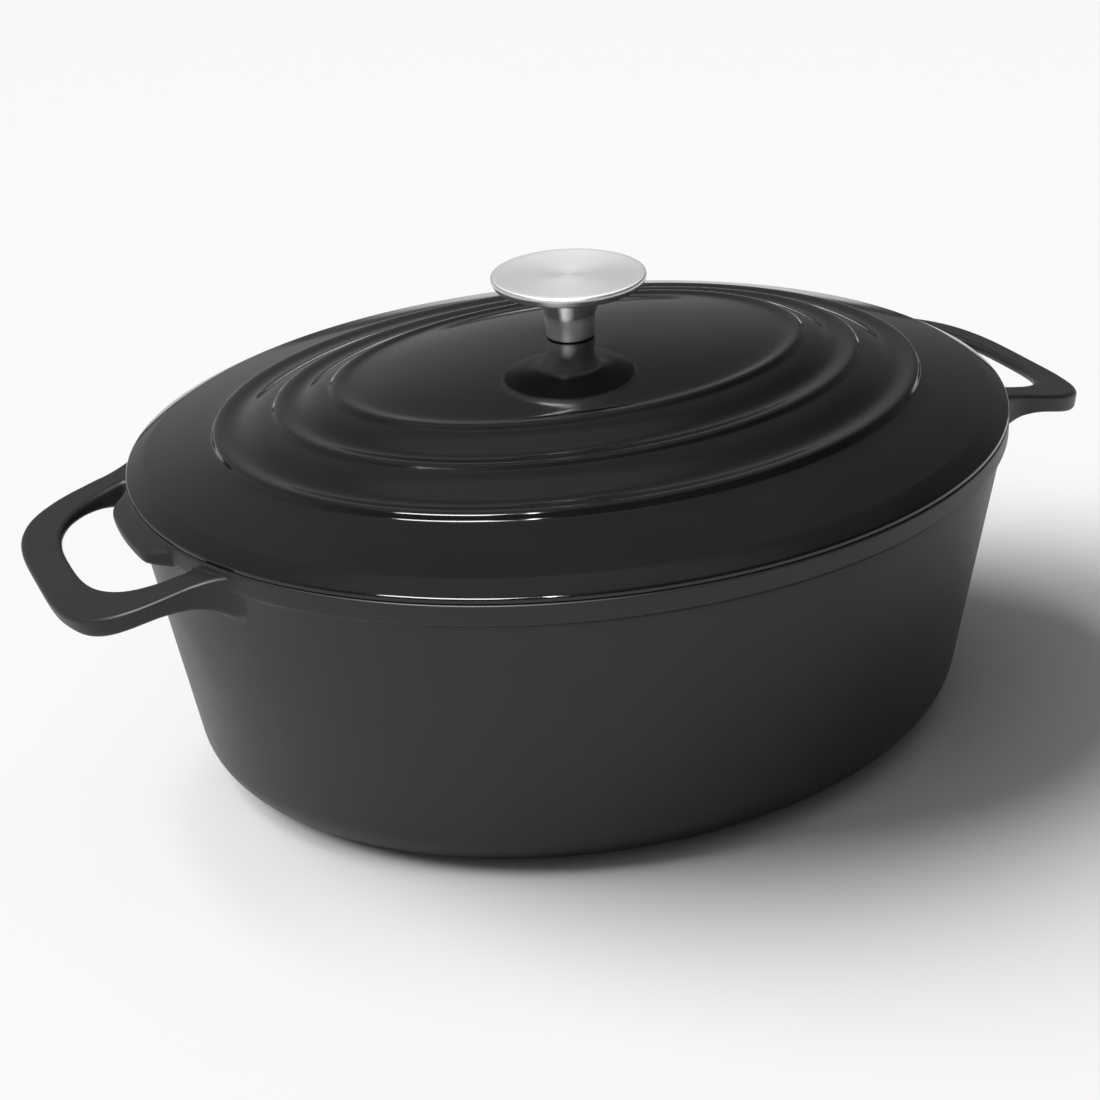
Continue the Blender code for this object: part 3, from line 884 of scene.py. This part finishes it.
def make_world():
    """Soft surroundings: brighter to the left, at the back and straight above."""
    world = bpy.data.worlds.new("studio")
    bpy.context.scene.world = world
    world.use_nodes = True
    tree = world.node_tree
    back = tree.nodes["Background"]
    place = tree.nodes.new("ShaderNodeTexCoord")
    split = tree.nodes.new("ShaderNodeSeparateXYZ")
    tree.links.new(place.outputs["Generated"], split.inputs["Vector"])
    across = ramp_of(tree, split.outputs["X"], -1, 1, WORLD_ACROSS)
    above = ramp_of(tree, split.outputs["Z"], -1, 1, WORLD_ABOVE)
    depth = ramp_of(tree, split.outputs["Y"], -1, 1, WORLD_DEPTH)
    total = tree.nodes.new("ShaderNodeVectorMath")
    total.operation = "ADD"
    tree.links.new(across, total.inputs[0])
    tree.links.new(above, total.inputs[1])
    scaled = tree.nodes.new("ShaderNodeVectorMath")
    scaled.operation = "MULTIPLY"
    tree.links.new(total.outputs["Vector"], scaled.inputs[0])
    tree.links.new(depth, scaled.inputs[1])
    tree.links.new(scaled.outputs["Vector"], back.inputs["Color"])
    back.inputs["Strength"].default_value = 1.0


def linked_to(name, items):
    """A collection of the pieces that an accent light falls on."""
    collection = bpy.data.collections.new(name)
    for item in items:
        collection.objects.link(item)
    return collection


def make_lights(pieces, knob):
    make_world()
    middle = Vector((0, 0, POT_HEIGHT))
    sun = bpy.data.lights.new("window", "SUN")
    sun.energy = WINDOW_POWER
    sun.angle = radians(WINDOW_SOFTNESS)
    item = bpy.data.objects.new("window", sun)
    bpy.context.scene.collection.objects.link(item)
    item.rotation_mode = "QUATERNION"
    item.rotation_quaternion = spherical(*WINDOW_DIRECTION).to_track_quat("Z", "Y")
    item.visible_glossy = False
    accents = linked_to("accent_lighting", pieces)
    softbox = area_light("softbox", middle, *SOFTBOX)
    strip = area_light("strip", middle, *STRIP)
    fill = area_light("knob_fill", KNOB_HIGH, *KNOB_FILL)
    softbox.light_linking.receiver_collection = accents
    strip.light_linking.receiver_collection = accents
    fill.light_linking.receiver_collection = linked_to("knob_lighting", [knob])


def make_camera():
    data = bpy.data.cameras.new("camera")
    data.lens = CAMERA_LENS
    data.sensor_width = CAMERA_SENSOR
    camera = bpy.data.objects.new("camera", data)
    bpy.context.scene.collection.objects.link(camera)
    back = spherical(*CAMERA_DIRECTION)
    camera.location = CAMERA_TARGET + back * CAMERA_DISTANCE
    camera.rotation_mode = "QUATERNION"
    aim = back.to_track_quat("Z", "Y")
    turn = Quaternion((0, 1, 0), CAMERA_YAW) @ Quaternion((1, 0, 0), CAMERA_PITCH)
    camera.rotation_quaternion = aim @ turn @ Quaternion((0, 0, 1), -CAMERA_ROLL)
    bpy.context.scene.camera = camera


def add_piece(piece, material, body, slot, *nodes):
    piece.data.materials.clear()
    piece.data.materials.append(material)
    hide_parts(*nodes)
    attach(piece, body)


def main():
    pot_enamel = enamel("pot_enamel", (0.005,) * 3, (0.006,) * 3, 0.37, 0.46, 0.010 * MM, 0.40)
    # The lid's enamel is a darker copy of the pot's: painted shade, its base colour lowered to offset
    # the extra light that the sun and the accent lights put on its top.
    lid_shaded_dark, lid_shaded_light = (0.0016, 0.0015, 0.0014), (0.0022, 0.0021, 0.0019)
    lid_enamel = enamel("lid_enamel", lid_shaded_dark, lid_shaded_light, 0.07, 0.10, 0.002 * MM, 0.5)
    steel = brushed_steel("knob_steel", (0.78,) * 3, (0.84,) * 3, 0.30, 0.40, 0.0015 * MM)
    fastener = brushed_steel("fastener_steel", (0.50,) * 3, (0.56,) * 3, 0.25, 0.40, 0.003 * MM)
    knob = make_knob()
    add_piece(knob, steel, "lid_assembly", "knob_steel", "knob")
    pot, lid = make_pot(), make_lid()
    add_piece(pot, pot_enamel, "pot", "pot_enamel", "pot_body")
    add_piece(lid, lid_enamel, "lid_assembly", "lid_enamel", "lid")
    add_piece(make_screw(), fastener, "lid_assembly", "fastener_steel", "knob_screw")
    add_piece(make_flat_washer(), fastener, "lid_assembly", "fastener_steel", "flat_washer")
    add_piece(make_spring_washer(), fastener, "lid_assembly", "fastener_steel", "spring_washer")
    make_floor()
    make_lights([pot, lid, knob], knob)
    make_camera()
    bpy.context.scene.view_settings.view_transform = "Standard"


main()
